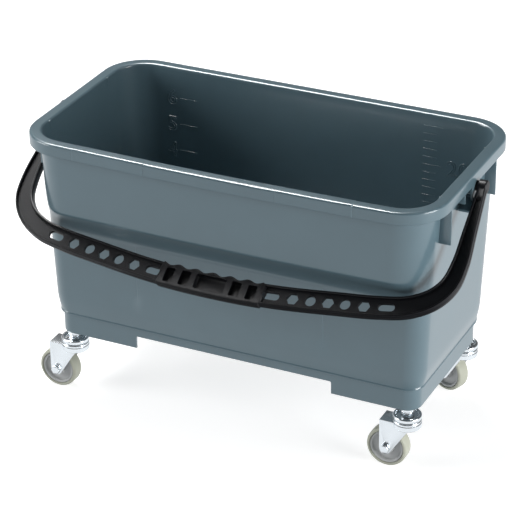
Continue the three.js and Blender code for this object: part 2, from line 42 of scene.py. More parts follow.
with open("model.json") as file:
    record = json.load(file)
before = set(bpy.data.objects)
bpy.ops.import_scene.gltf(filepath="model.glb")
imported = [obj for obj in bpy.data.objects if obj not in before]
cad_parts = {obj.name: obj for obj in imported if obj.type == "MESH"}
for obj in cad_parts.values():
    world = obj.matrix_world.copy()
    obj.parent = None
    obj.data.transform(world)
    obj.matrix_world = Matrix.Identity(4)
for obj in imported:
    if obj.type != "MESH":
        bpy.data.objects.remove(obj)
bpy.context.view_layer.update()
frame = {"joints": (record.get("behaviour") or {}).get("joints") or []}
JOINTS = {joint["name"]: joint for joint in frame["joints"]}
MM = 0.001

# The middle of the bucket and the bail's axis, in millimetres.
HINGE = Vector(JOINTS["bail_hinge"]["pos_m"]) / MM
RIM_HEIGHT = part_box("bucket_shell")[1].z / MM
FOOT_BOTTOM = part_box("bucket_shell")[0].z / MM
CASTORS = ("front_left", "front_right", "back_left", "back_right")


# ---- settings ----


class BucketSettings(bpy.types.PropertyGroup):
    half_length: FloatProperty(name="Half length", description="Half the opening's length, mm", default=246.0)
    half_width: FloatProperty(name="Half width", description="Half the opening's width, mm", default=123.0)
    wall: FloatProperty(name="Wall", description="Wall thickness, mm", default=3.0, min=1.5)
    corner: FloatProperty(name="Corner", description="Opening's corner radius, mm", default=39.0)
    lower_corner: FloatProperty(
        name="Lower corner", description="Lower wall's corner radius, mm", default=24.0)
    bow: FloatProperty(name="Bow", description="How far the front wall curves out, mm", default=4.0)
    end_draft: FloatProperty(
        name="End draft", description="Lean of the ends", subtype="ANGLE", default=math.radians(2.3))
    front_draft: FloatProperty(
        name="Front draft", description="Lean of the front wall", subtype="ANGLE", default=math.radians(0.8))
    back_draft: FloatProperty(
        name="Back draft", description="Lean of the back wall", subtype="ANGLE", default=math.radians(1.6))
    step: FloatProperty(name="Step", description="How far the lower front wall stands in, mm", default=17.0)
    step_low: FloatProperty(name="Step low", description="Slope's foot above the base, mm", default=143.0)
    step_high: FloatProperty(name="Step high", description="Slope's top above the base, mm", default=174.5)
    ridge: FloatProperty(name="Ridge", description="Height of the base skirt, mm", default=27.5)
    ridge_inset: FloatProperty(name="Ridge inset", description="How far the skirt stands in, mm", default=5.5)
    ledge: FloatProperty(name="Ledge", description="Overhang of the wall at the ridge, mm", default=2.2)
    ridge_round: FloatProperty(name="Ridge round", description="Height of the wall's tuck, mm", default=26.0)
    floor: FloatProperty(name="Floor", description="Thickness of the floor, mm", default=3.5)
    fillet: FloatProperty(name="Fillet", description="Radius where floor meets wall, mm", default=10.0)
    foot: FloatProperty(name="Foot length", description="Base skirt beside its gap, mm", default=106.0)
    gap: FloatProperty(name="Gap height", description="Height of the gap in the base skirt, mm", default=16.5)
    flange: FloatProperty(name="Flange", description="Width of the rim, mm", default=15.0)
    skirt: FloatProperty(name="Skirt", description="Depth of the rim, mm", default=15.0)
    edge: FloatProperty(name="Rim edge", description="Radius of the rim's edges, mm", default=2.8)
    colour: FloatVectorProperty(
        name="Colour", description="Colour of the bucket", subtype="COLOR", default=(0.098, 0.158, 0.188))


class MarkSettings(bpy.types.PropertyGroup):
    litre_pitch: FloatProperty(name="Litre pitch", description="Height of one litre, mm", default=9.9)
    litre_top: FloatProperty(name="Top mark", description="Depth of the 25 litre mark, mm", default=16.2)
    litre_count: IntProperty(name="Litre marks", description="How many litre marks there are", default=17)
    tick: FloatProperty(name="Tick", description="Length of a short mark, mm", default=17.0)
    long_tick: FloatProperty(name="Long tick", description="Length of every fifth mark, mm", default=24.0)
    line: FloatProperty(name="Line", description="Width of a raised line, mm", default=1.3)
    relief: FloatProperty(name="Relief", description="Height of a raised line, mm", default=1.1)
    numeral: FloatProperty(name="Numeral", description="Height of a numeral, mm", default=20.0)


class HandleSettings(bpy.types.PropertyGroup):
    rest: FloatProperty(
        name="Rest angle", description="Lean on the front stops", subtype="ANGLE", default=math.radians(37.0))
    back_rest: FloatProperty(
        name="Back rest", description="Lean on the back stops", subtype="ANGLE", default=math.radians(35.0))
    reach: FloatProperty(name="Reach", description="Axis to the middle of the grip, mm", default=187.5)
    arm: FloatProperty(name="Arm width", description="Width beside the axis, mm", default=9.5)
    clearance: FloatProperty(name="Clearance", description="Rim to arm, mm", default=3.0)
    bar: FloatProperty(name="Bar width", description="Width beside the grip, mm", default=26.0)
    grip: FloatProperty(name="Grip width", description="Width of the grip, mm", default=29.0)
    grip_half: FloatProperty(name="Grip half length", description="Half the grip's length, mm", default=64.0)
    scallop: FloatProperty(name="Scallop", description="Depth of the finger waves, mm", default=3.0)
    pitch: FloatProperty(name="Scallop pitch", description="Length of a finger wave, mm", default=22.0)
    colour: FloatVectorProperty(
        name="Colour", description="Colour of the bail", subtype="COLOR", default=(0.0062, 0.0066, 0.0085))


class CastorSettings(bpy.types.PropertyGroup):
    wheel: FloatProperty(name="Wheel radius", description="Radius of the tread, mm", default=25.0)
    over: FloatProperty(name="Over wheel", description="Tread to swivel head, mm", default=6.0)
    crown: FloatProperty(name="Crown", description="Height of the fork's crown, mm", default=10.4)
    cup: FloatProperty(name="Cup", description="Height of the top cup, mm", default=5.9)
    width: FloatProperty(name="Wheel width", description="Width of the wheel, mm", default=17.0)
    tyre: FloatProperty(name="Tyre", description="Depth of the tread, mm", default=4.4)
    trail: FloatProperty(name="Trail", description="Stem to axle, mm", default=22.5)
    head: FloatProperty(name="Head radius", description="Radius of the swivel head, mm", default=17.0)
    plate: FloatProperty(name="Plate", description="Thickness of the pressed steel, mm", default=1.8)
    tread_colour: FloatVectorProperty(
        name="Tread", description="Colour of the treads", subtype="COLOR", default=(0.44, 0.45, 0.37))
    hub_colour: FloatVectorProperty(
        name="Hub", description="Colour of the wheel centres", subtype="COLOR", default=(0.46, 0.47, 0.47))
    zinc_colour: FloatVectorProperty(
        name="Zinc", description="Colour of the zinc plating", subtype="COLOR", default=(0.86, 0.90, 0.93))


# ---- materials ----


def add_node(tree, kind, **values):
    made = tree.nodes.new(kind)
    for name, value in values.items():
        setattr(made, name, value)
    return made


def finish_material(name, colour, rough, metal=0.0, grain=900.0, relief=0.05, shade=0.06, extras=()):
    """A finish with fine grain, slight unevenness of colour, and polish that varies."""
    material = bpy.data.materials.new(name)
    material.use_nodes = True
    tree = material.node_tree
    shader = tree.nodes["Principled BSDF"]
    shader.inputs["Metallic"].default_value = metal
    for socket, value in extras:
        shader.inputs[socket].default_value = value
    place = add_node(tree, "ShaderNodeTexCoord")
    clouds = add_node(tree, "ShaderNodeTexNoise")
    clouds.inputs["Scale"].default_value = 22.0
    clouds.inputs["Detail"].default_value = 4.0
    tree.links.new(place.outputs["Object"], clouds.inputs["Vector"])
    ramp = add_node(tree, "ShaderNodeValToRGB")
    ramp.color_ramp.elements[0].position = 0.3
    ramp.color_ramp.elements[1].position = 0.7
    ramp.color_ramp.elements[0].color = (*(c * (1 - shade) for c in colour), 1)
    ramp.color_ramp.elements[1].color = (*(min(1, c * (1 + shade)) for c in colour), 1)
    tree.links.new(clouds.outputs["Fac"], ramp.inputs["Fac"])
    tree.links.new(ramp.outputs["Color"], shader.inputs["Base Color"])
    polish = add_node(tree, "ShaderNodeMapRange")
    polish.inputs["To Min"].default_value = rough[0]
    polish.inputs["To Max"].default_value = rough[1]
    tree.links.new(clouds.outputs["Fac"], polish.inputs["Value"])
    tree.links.new(polish.outputs["Result"], shader.inputs["Roughness"])
    fine = add_node(tree, "ShaderNodeTexNoise")
    fine.inputs["Scale"].default_value = grain
    fine.inputs["Detail"].default_value = 2.0
    tree.links.new(place.outputs["Object"], fine.inputs["Vector"])
    bump = add_node(tree, "ShaderNodeBump")
    bump.inputs["Strength"].default_value = relief
    bump.inputs["Distance"].default_value = 0.0003
    tree.links.new(fine.outputs["Fac"], bump.inputs["Height"])
    tree.links.new(bump.outputs["Normal"], shader.inputs["Normal"])
    return material


MATERIALS = {}


def finish_of(name):
    """The named finish, made the first time that it is asked for."""
    if name not in MATERIALS:
        castor = bpy.context.scene.castor_settings
        recipes = {
            "bucket plastic": dict(
                colour=bpy.context.scene.bucket_settings.colour, rough=(0.25, 0.34), shade=0.03,
                extras=(("Specular IOR Level", 0.5), ("Coat Weight", 0.55), ("Coat Roughness", 0.12))),
            "handle plastic": dict(
                colour=bpy.context.scene.handle_settings.colour, rough=(0.36, 0.46), relief=0.1,
                shade=0.12, extras=(("Specular IOR Level", 0.28),)),
            "zinc plate": dict(
                colour=castor.zinc_colour, rough=(0.2, 0.3), metal=1.0, grain=300.0, relief=0.04,
                shade=0.06),
            "grey hub": dict(colour=castor.hub_colour, rough=(0.45, 0.55), shade=0.05),
            "pale tread": dict(
                colour=castor.tread_colour, rough=(0.5, 0.65), grain=500.0, relief=0.12, shade=0.08),
        }
        MATERIALS[name] = finish_material(name, **recipes[name])
    return MATERIALS[name]


# ---- meshes ----


def mesh_object(name, points, faces, finish, place=None):
    """A new object from points in millimetres, moved by place, with its mesh in metres."""
    mesh = bpy.data.meshes.new(name)
    mesh.from_pydata([tuple(p) for p in points], [], faces)
    mesh.transform(Matrix.Scale(MM, 4) @ (place or Matrix.Identity(4)))
    mesh.update()
    made = bpy.data.objects.new(name, mesh)
    made.data.materials.append(finish_of(finish))
    bpy.context.scene.collection.objects.link(made)
    return made


def skin(rings):
    """Points and faces of a closed skin through rings of equal length, capped at both ends."""
    count = len(rings[0])
    points = [p for ring in rings for p in ring]
    faces = [tuple(reversed(range(count)))]
    for k in range(len(rings) - 1):
        for i in range(count):
            j = (i + 1) % count
            a, b = k * count + i, k * count + j
            faces.append((a, b, b + count, a + count))
    last = (len(rings) - 1) * count
    faces.append(tuple(range(last, last + count)))
    return points, faces


def outward(made):
    """Turns a closed mesh's faces outwards."""
    work = bmesh.new()
    work.from_mesh(made.data)
    bmesh.ops.remove_doubles(work, verts=work.verts, dist=1e-6)
    bmesh.ops.recalc_face_normals(work, faces=work.faces)
    if work.calc_volume(signed=True) < 0:
        bmesh.ops.reverse_faces(work, faces=work.faces)
    work.to_mesh(made.data)
    work.free()
    return made


def settle(made):
    """Applies the modifiers, so that the mesh is the finished shape."""
    graph = bpy.context.evaluated_depsgraph_get()
    mesh = bpy.data.meshes.new_from_object(made.evaluated_get(graph))
    made.modifiers.clear()
    old = made.data
    made.data = mesh
    bpy.data.meshes.remove(old)
    return made


def combined(made, tools, operation):
    """Joins the tools to a solid, or cuts them from it, and removes them."""
    for tool in tools:
        cut = made.modifiers.new("cut", "BOOLEAN")
        cut.operation = operation
        cut.solver = "MANIFOLD"
        cut.object = tool
        settle(made)
        mesh = tool.data
        bpy.data.objects.remove(tool)
        bpy.data.meshes.remove(mesh)
    return made


def rounded(made, width, segments=2, angle=40.0):
    """Rounds the edges of a plain solid, with a radius in millimetres."""
    bevel = made.modifiers.new("round", "BEVEL")
    bevel.width = width * MM
    bevel.segments = segments
    bevel.limit_method = "ANGLE"
    bevel.angle_limit = math.radians(angle)
    return settle(made)


def shaded(made, angle=32.0):
    """Smooth shading, with a crease wherever two faces meet at more than the angle."""
    made.data.shade_smooth()
    made.data.set_sharp_from_angle(angle=math.radians(angle))
    return made


def placed_on(made, body, slot, *nodes):
    """Hangs a finished piece on its body, in place of CAD nodes."""
    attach(made, body)
    if nodes:
        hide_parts(*nodes)
    return made


def block(name, low, high, finish, place=None):
    points = [(x, y, z) for z in (low[2], high[2]) for y in (low[1], high[1]) for x in (low[0], high[0])]
    faces = [(0, 2, 3, 1), (4, 5, 7, 6), (0, 1, 5, 4), (1, 3, 7, 5), (3, 2, 6, 7), (2, 0, 4, 6)]
    return mesh_object(name, points, faces, finish, place)


def turned(name, profile, finish, place=None, sides=72):
    """A turned piece about Z. The profile is (radius, height) pairs, and closes on itself."""
    closed = all(r > 0 for r, _ in profile)
    points, faces = [], []
    for r, z in profile:
        for i in range(sides):
            angle = 2 * math.pi * i / sides
            points.append((r * math.cos(angle), r * math.sin(angle), z))
    count = len(profile)
    for k in range(count if closed else count - 1):
        n = (k + 1) % count
        for i in range(sides):
            j = (i + 1) % sides
            faces.append((k * sides + i, k * sides + j, n * sides + j, n * sides + i))
    made = mesh_object(name, points, faces, finish, place)
    return outward(made)


def plug(name, radius, low, high, finish, place=None, sides=40):
    """A plain round bar about Z."""
    return turned(name, [(0, low), (radius, low), (radius, high), (0, high)], finish, place, sides)


def arc(cx, cy, radius, start, end, steps):
    """Points of an arc, with its angles in degrees."""
    angles = [math.radians(start + (end - start) * i / steps) for i in range(steps + 1)]
    return [(cx + radius * math.cos(a), cy + radius * math.sin(a)) for a in angles]


def extruded(name, outline, low, high, finish, place=None):
    """A flat outline (x, y) given thickness from low to high along Z."""
    rings = [[(x, y, z) for x, y in outline] for z in (low, high)]
    return outward(mesh_object(name, *skin(rings), finish, place))


# ---- the bucket's shell ----

PANEL_EDGE = 120.0
RIB_SPACING, RIB_THICKNESS, RIB_DEPTH = 115.0, 2.5, 6.5
BOSS_RADIUS, INSERT_BORE, INSERT_DEPTH = 10.9, 6.4, 15.6
PIVOT_RADIUS, STUD_BORE, STUD_DEPTH = 11.0, 6.3, 8.3
TAB_MIDDLE, TAB_RADIUS, TAB_DROP = -1.5, 11.5, 20.0
# A stop lug, from the bail's axis: where it starts and ends, its face and its depth.
LUG_NEAR, LUG_FAR, LUG_FACE, LUG_DEPTH = 12.0, 30.0, -6.3, 6.0
# How deep a cutter runs past a face, and half the length of a block that crosses the whole bucket.
CUT_DEPTH, PAST = 5.0, 300.0
# Place along the end, depth below the rim and half thickness of each stiffening plate.
END_PLATES = ((-76, 59, 1.25), (-35, 27, 1.1), (64, 59, 1.25))
RIM_LIFT = 0.6
PANEL_LIFT = 0.6
RIM_BREAKS = (-181.0, -88.0, 77.0, 168.0)
CORNER_STEPS = 16
END_STEPS = 14


def long_stations():
    """Places along the front and back, close together where a moulding line runs."""
    plain = {float(x) for x in range(-190, 191, 10)}
    for line in (*RIM_BREAKS, -PANEL_EDGE, PANEL_EDGE):
        plain |= {line - 0.4, line + 0.4}
        plain.discard(round(line, -1))
    return sorted(plain)


def rounded_rectangle(half_length, front, back, corner, bow):
    """(x, y, turn) round a rounded rectangle. Turn is 0 on the long sides and 1 on the ends."""
    flat_x, flat_front, flat_back = half_length - corner, front - corner, back - corner
    stations = long_stations()
    points = [(x, -front - bow * (1 - (x / flat_x) ** 2), 0.0) for x in stations]

    def bend(cx, cy, start, rising):
        for i in range(CORNER_STEPS + 1):
            share = i / CORNER_STEPS
            angle = start + share * math.pi / 2
            turn = share if rising else 1 - share
            points.append((cx + corner * math.cos(angle), cy + corner * math.sin(angle), turn))

    def end(x, start, stop):
        for i in range(1, END_STEPS):
            share = 2 * i / END_STEPS
            y = start * (1 - share) if share < 1 else stop * (share - 1)
            points.append((x, y, 1.0))

    bend(flat_x, -flat_front, -math.pi / 2, True)
    end(half_length, -flat_front, flat_back)
    bend(flat_x, flat_back, 0, False)
    points.extend((x, back, 0.0) for x in reversed(stations))
    bend(-flat_x, flat_back, math.pi / 2, True)
    end(-half_length, flat_back, -flat_front)
    bend(-flat_x, -flat_front, math.pi, False)
    return points


def smooth(t):
    t = min(1.0, max(0.0, t))
    return t * t * (3 - 2 * t)


def slope_share(t):
    """0 below the step and 1 above it: soft at its foot, crisp at its top."""
    total = 0.0
    for shift in (-0.06, -0.03, 0.0, 0.03, 0.06):
        total += min(1.0, max(0.0, t + shift)) ** 1.5
    return total / 5


def step_share(s, z, turn):
    """How much of the upper outline shows at a height. The step climbs round the corners."""
    climb = smooth((turn - 0.3) / 0.7)
    top = RIM_HEIGHT - s.skirt
    start = FOOT_BOTTOM + s.step_high
    high = start + (top - start) * climb * climb
    low = FOOT_BOTTOM + s.step_low
    low += (high - low) * climb
    return slope_share((z - low) / max(high - low, 1.0))


def panel_relief(s, x, y, z):
    """The middle of the lower front stands proud by a hair, up to its moulding lines."""
    inside = abs(x) < PANEL_EDGE and y < 0 and s.ridge + 4 < z - FOOT_BOTTOM < s.step_low
    return PANEL_LIFT if inside else 0.0


def wall_ring(s, z, offset=0.0, plain=False):
    """One ring of the wall, moved out from its outer face by offset."""
    below = RIM_HEIGHT - z
    half_length = s.half_length + s.wall - below * math.tan(s.end_draft) + offset
    front = s.half_width + s.wall - below * math.tan(s.front_draft) + offset
    back = s.half_width + s.wall - below * math.tan(s.back_draft) + offset
    upper = rounded_rectangle(half_length, front, back, s.corner + s.wall + offset, s.bow)
    lower = rounded_rectangle(half_length, front - s.step, back, s.lower_corner + offset, 0.0)
    ring = []
    for (ux, uy, turn), (lx, ly, _) in zip(upper, lower):
        share = step_share(s, z, turn) if uy < 0 else 1.0
        x = lx + (ux - lx) * share
        y = ly + (uy - ly) * share
        relief = 0.0 if plain or turn > 0 else panel_relief(s, x, y, z)
        ring.append((x, y - relief, z))
    return ring


def at_height(ring, z):
    return [(x, y, z) for x, y, _ in ring]


def rim_ring(s, offset, z):
    """A ring of the rim, with the slightly raised lengths between its moulding lines."""
    ring = []
    for x, y, _ in wall_ring(s, RIM_HEIGHT, offset):
        raised = y < 0 and (RIM_BREAKS[0] < x < RIM_BREAKS[1] or RIM_BREAKS[2] < x < RIM_BREAKS[3])
        lift = RIM_LIFT if raised else 0.0
        ring.append((x, y - lift, z - RIM_LIFT + lift))
    return ring


def wall_heights(s):
    """Heights of the rings between the wall's tuck and the rim."""
    top = RIM_HEIGHT - s.skirt
    bulge = FOOT_BOTTOM + s.ridge + s.ridge_round
    low = FOOT_BOTTOM + s.step_low
    plain = [bulge + (low - 4 - bulge) * i / 6 for i in range(1, 7)]
    count = int((top - low + 2) / 1.6)
    close = [low - 2 + (top - low + 2) * i / count for i in range(count + 1)]
    return plain + close


def tuck(s, rise):
    """How far the wall stands in, a little way above the ridge."""
    share = min(1.0, rise / s.ridge_round)
    return (s.ridge_inset - s.ledge) * (1 - math.sin(share * math.pi / 2))


def foot_rings(s):
    ridge = FOOT_BOTTOM + s.ridge
    base = wall_ring(s, ridge, -s.ridge_inset, plain=True)
    tucked = wall_ring(s, ridge, -s.ridge_inset - 0.8, plain=True)
    rings = [at_height(tucked, FOOT_BOTTOM), at_height(base, FOOT_BOTTOM + 0.8)]
    rings += [at_height(base, ridge - 0.8), at_height(base, ridge)]
    for proud, rise in ((0.9, 0.3), (1.2, 0.6), (1.2, 1.2), (0.9, 1.8), (0.0, 3.0)):
        rings.append(wall_ring(s, ridge + rise, proud - tuck(s, rise), plain=True))
    for i in range(1, 9):
        rise = s.ridge_round * i / 8
        rings.append(wall_ring(s, ridge + rise, -tuck(s, rise), plain=True))
    return rings


def outer_rings(s):
    """Base skirt, wall and rim, from the bottom to the rim's inner edge."""
    top = RIM_HEIGHT
    out = s.flange - s.wall
    under = top - 3.2
    rings = foot_rings(s) + [wall_ring(s, z) for z in wall_heights(s)]
    rings.append(wall_ring(s, under))
    for offset, z in ((out - 2.6, under), (out - 2.6, top - s.skirt + 0.6), (out - 2.0, top - s.skirt)):
        rings.append(rim_ring(s, offset, z))
    rings.append(rim_ring(s, out - 0.4, top - s.skirt))
    rings.append(rim_ring(s, out, top - s.skirt + 0.5))
    rings.append(rim_ring(s, out, top - s.skirt / 2))
    rings += [rim_ring(s, x, z) for x, z in arc(out - s.edge, top - s.edge, s.edge, 0, 90, 7)]
    return rings


def cavity_rings(s):
    """The inside, from the floor to just above the rim."""
    floor = FOOT_BOTTOM + s.ridge
    inset = -s.wall
    rings = []
    for i in range(9):
        angle = i / 8 * math.pi / 2
        move = inset - tuck(s, s.fillet) - s.fillet * (1 - math.sin(angle))
        ring = wall_ring(s, floor, move, plain=True)
        rings.append(at_height(ring, floor + s.fillet * (1 - math.cos(angle))))
    for i in range(1, 7):
        rise = s.fillet + (s.ridge_round - s.fillet) * i / 6
        rings.append(wall_ring(s, floor + rise, inset - tuck(s, rise), plain=True))
    rings += [wall_ring(s, z, inset, plain=True) for z in wall_heights(s)]
    for offset, z in arc(inset + s.edge, RIM_HEIGHT - s.edge, s.edge, 180, 90, 7):
        rings.append(rim_ring(s, offset, z))
    rings.append(rim_ring(s, inset + s.edge, RIM_HEIGHT + 3))
    return rings


def bucket_place():
    return Matrix.Translation((0, HINGE.y, 0))


def half_end(s, z):
    return s.half_length + s.wall - (RIM_HEIGHT - z) * math.tan(s.end_draft)


def base_hollow(s, place):
    """The open space inside the base skirt, with the ribs under the floor left standing."""
    ridge = FOOT_BOTTOM + s.ridge
    under = ridge - s.floor
    ring = wall_ring(s, ridge, -s.ridge_inset - s.wall, plain=True)
    rings = [at_height(ring, FOOT_BOTTOM - CUT_DEPTH), at_height(ring, under)]
    hollow = outward(mesh_object("hollow", *skin(rings), "bucket plastic", place))
    half, low = RIB_THICKNESS / 2, under - RIB_DEPTH
    high = under + CUT_DEPTH
    ribs = [block("rib", (x - half, -PAST, low), (x + half, PAST, high), "bucket plastic", place)
            for x in (-RIB_SPACING, 0, RIB_SPACING)]
    ribs.append(block("rib", (-PAST, -half, low), (PAST, half, high), "bucket plastic", place))
    return combined(hollow, [rounded(outward(rib), 0.4, 2) for rib in ribs], "DIFFERENCE")


def skirt_gap(s, place):
    """The gap between the feet, at the front and the back."""
    edge = half_end(s, FOOT_BOTTOM + s.ridge) - s.ridge_inset - s.foot
    low = (-edge, -PAST, FOOT_BOTTOM - CUT_DEPTH)
    high = (edge, PAST, FOOT_BOTTOM + s.gap)
    gap = block("gap", low, high, "bucket plastic", place)
    return rounded(outward(gap), 2.0, 3)


def shell_solid(s):
    place = bucket_place()
    shell = outward(mesh_object("bucket_body", *skin(outer_rings(s)), "bucket plastic", place))
    cavity = outward(mesh_object("cavity", *skin(cavity_rings(s)), "bucket plastic", place))
    combined(shell, [cavity, base_hollow(s, place), skirt_gap(s, place)], "DIFFERENCE")
    bosses, bores = castor_bosses(s)
    combined(shell, bosses, "UNION")
    return combined(shell, bores, "DIFFERENCE")


def castor_bosses(s):
    """The posts under the floor that hold the castors' threaded inserts, and their bores."""
    low, under = FOOT_BOTTOM, FOOT_BOTTOM + s.ridge - s.floor
    bosses, bores = [], []
    for name in CASTORS:
        x, y, _ = Vector(JOINTS["swivel_" + name]["pos_m"]) / MM
        place = Matrix.Translation((x, y, 0))
        profile = [(0, low + 0.1), (BOSS_RADIUS - 0.6, low + 0.1), (BOSS_RADIUS, low + 0.7),
                   (BOSS_RADIUS, under + 1), (0, under + 1)]
        boss = turned("boss", profile, "bucket plastic", place, 48)
        foot = at_height(wall_ring(s, low + s.ridge, -s.ridge_inset - 0.1, plain=True), low - CUT_DEPTH)
        rings = [foot, at_height(foot, under + CUT_DEPTH)]
        inside = mesh_object("inside", *skin(rings), "bucket plastic", bucket_place())
        bosses.append(combined(boss, [outward(inside)], "INTERSECT"))
        bores.append(plug("bore", INSERT_BORE, low - CUT_DEPTH, low + INSERT_DEPTH, "bucket plastic", place))
    return bosses, bores


def skirt_face(s):
    return s.half_length + s.flange


def arm_middle(s, h):
    """The middle of the bail's eyes, from the bucket's middle."""
    return skirt_face(s) + h.clearance + h.arm / 2


def pivot_tab(s):
    """A tongue with a round end that hangs from the rim's skirt in front of the boss."""
    top = RIM_HEIGHT - s.wall
    tab = arc(TAB_MIDDLE, HINGE.z - TAB_DROP + TAB_RADIUS, TAB_RADIUS, 180, 360, 20)
    tab += [(TAB_MIDDLE + TAB_RADIUS, top), (TAB_MIDDLE - TAB_RADIUS, top)]
    upright = Matrix(((0, 0, 1, 0), (1, 0, 0, 0), (0, 1, 0, 0), (0, 0, 0, 1)))
    face = skirt_face(s)
    return rounded(extruded("tab", tab, face - s.wall, face - 0.1, "bucket plastic", upright), 0.6, 2)


def pivot_tools(s):
    """The boss behind the tab, and the blind bore that the bail's stud turns in."""
    lean = Matrix.Translation((0, 0, HINGE.z)) @ Matrix.Rotation(math.pi / 2, 4, "Y")
    inner, face = half_end(s, HINGE.z - PIVOT_RADIUS) - 2, skirt_face(s)
    boss = plug("boss", PIVOT_RADIUS, inner, face - 0.5, "bucket plastic", lean, 48)
    return boss, plug("bore", STUD_BORE, face - STUD_DEPTH, face + CUT_DEPTH, "bucket plastic", lean)


def stop_lug(s, h, front):
    """A lug beside the boss that an arm of the bail comes to rest on."""
    angle = h.rest if front > 0 else h.back_rest
    low = (half_end(s, HINGE.z) - s.wall, -LUG_FAR, LUG_FACE - LUG_DEPTH)
    high = (arm_middle(s, h) - h.arm / 4, -LUG_NEAR, LUG_FACE)
    stand = Matrix.Translation((0, 0, HINGE.z)) @ Matrix.Diagonal((1, front, 1, 1))
    lug = block("lug", low, high, "bucket plastic", stand @ Matrix.Rotation(angle, 4, "X"))
    return rounded(outward(lug), 0.8, 2)


def end_plates(s, h):
    """Stiffening plates, the pivot boss and the bail's stops, on the right-hand end."""
    pieces = []
    for y, depth, half in END_PLATES:
        bottom = RIM_HEIGHT - depth
        low = (half_end(s, bottom) - 1.5, y - half, bottom)
        high = (skirt_face(s) - 0.3, y + half, RIM_HEIGHT - 2)
        pieces.append(rounded(outward(block("plate", low, high, "bucket plastic")), 0.4, 2))
    boss, bore = pivot_tools(s)
    pieces += [pivot_tab(s), boss, stop_lug(s, h, 1), stop_lug(s, h, -1)]
    plates = combined(pieces[0], pieces[1:], "UNION")
    return combined(plates, [bore], "DIFFERENCE")


class BUCKET_OT_shell(bpy.types.Operator):
    """Makes the bucket: feet, stepped walls, rim and hollow inside."""

    bl_idname = "bucket.shell"
    bl_label = "Shell"

    def execute(self, context):
        s = context.scene.bucket_settings
        shell = shell_solid(s)
        shaded(shell)
        placed_on(shell, "bucket", "bucket", "bucket_shell")
        return {"FINISHED"}


class BUCKET_OT_ends(bpy.types.Operator):
    """Makes the plates, pivot bosses and stops under the rim at each end."""

    bl_idname = "bucket.ends"
    bl_label = "End plates"

    def execute(self, context):
        s, h = context.scene.bucket_settings, context.scene.handle_settings
        for side, label in ((1, "right"), (-1, "left")):
            piece = end_plates(s, h)
            piece.name = "end_plates_" + label
            piece.data.transform(Matrix.Diagonal((side, 1, 1, 1)))
            piece.data.transform(Matrix.Translation((0, HINGE.y * MM, 0)))
            shaded(outward(piece))
            placed_on(piece, "bucket", "bucket")
        return {"FINISHED"}


# ---- the level marks ----

# Depths below the rim. A numeral's is that of its foot, after its place along the wall.
GALLON_DEPTHS = (40.1, 75.1, 110.1, 145.1)
LITRES_START, GALLONS_START = 148.0, -177.0
NUMERALS = (("6", -194, 49.0), ("5", -194, 84.5), ("4", -194, 119.5), ("20", 178, 76.0))


def inside_back(s, z):
    """How far the back wall's inner face is from the middle, at a height."""
    return s.half_width - (RIM_HEIGHT - z) * math.tan(s.back_draft)


def tick_tree():
    """A tree that puts a raised line at each point, longer where the point says so."""
    tree = bpy.data.node_groups.new("Level ticks", "GeometryNodeTree")
    face = tree.interface
    face.new_socket("Geometry", in_out="INPUT", socket_type="NodeSocketGeometry")
    for name in ("Short length", "Long length", "Line width", "Relief", "Lean"):
        face.new_socket(name, in_out="INPUT", socket_type="NodeSocketFloat")
    face.new_socket("Material", in_out="INPUT", socket_type="NodeSocketMaterial")
    face.new_socket("Geometry", in_out="OUTPUT", socket_type="NodeSocketGeometry")
    start = add_node(tree, "NodeGroupInput")
    cube = add_node(tree, "GeometryNodeMeshCube")
    cube.inputs["Size"].default_value = (1, 1, 1)
    shift = add_node(tree, "GeometryNodeTransform")
    shift.inputs["Translation"].default_value = (0.5, 0, 0)
    long_mark = add_node(tree, "GeometryNodeInputNamedAttribute", data_type="FLOAT")
    long_mark.inputs["Name"].default_value = "long_mark"
    length = add_node(tree, "ShaderNodeMix", data_type="FLOAT")
    size = add_node(tree, "ShaderNodeCombineXYZ")
    turn = add_node(tree, "ShaderNodeCombineXYZ")
    spin = add_node(tree, "FunctionNodeEulerToRotation")
    place = add_node(tree, "GeometryNodeInstanceOnPoints")
    real = add_node(tree, "GeometryNodeRealizeInstances")
    coat = add_node(tree, "GeometryNodeSetMaterial")
    end = add_node(tree, "NodeGroupOutput")
    link = tree.links.new
    link(cube.outputs["Mesh"], shift.inputs["Geometry"])
    link(long_mark.outputs["Attribute"], length.inputs[0])
    link(start.outputs["Short length"], length.inputs[2])
    link(start.outputs["Long length"], length.inputs[3])
    link(length.outputs[0], size.inputs["X"])
    link(start.outputs["Relief"], size.inputs["Y"])
    link(start.outputs["Line width"], size.inputs["Z"])
    link(start.outputs["Lean"], turn.inputs["X"])
    link(turn.outputs["Vector"], spin.inputs["Euler"])
    link(start.outputs["Geometry"], place.inputs["Points"])
    link(shift.outputs["Geometry"], place.inputs["Instance"])
    link(spin.outputs["Rotation"], place.inputs["Rotation"])
    link(size.outputs["Vector"], place.inputs["Scale"])
    link(place.outputs["Instances"], real.inputs["Geometry"])
    link(real.outputs["Geometry"], coat.inputs["Geometry"])
    link(start.outputs["Material"], coat.inputs["Material"])
    link(coat.outputs["Geometry"], end.inputs["Geometry"])
    return tree


def tick_points(s, marks):
    """The points that carry the ticks: litres on the right and gallons on the left."""
    top = RIM_HEIGHT - marks.litre_top
    places = [(LITRES_START, top - i * marks.litre_pitch, i % 5 == 0) for i in range(marks.litre_count)]
    places += [(GALLONS_START, RIM_HEIGHT - depth, True) for depth in GALLON_DEPTHS]
    points = [(x, inside_back(s, z) + 0.05, z) for x, z, _ in places]
    return points, [1.0 if is_long else 0.0 for _, _, is_long in places]


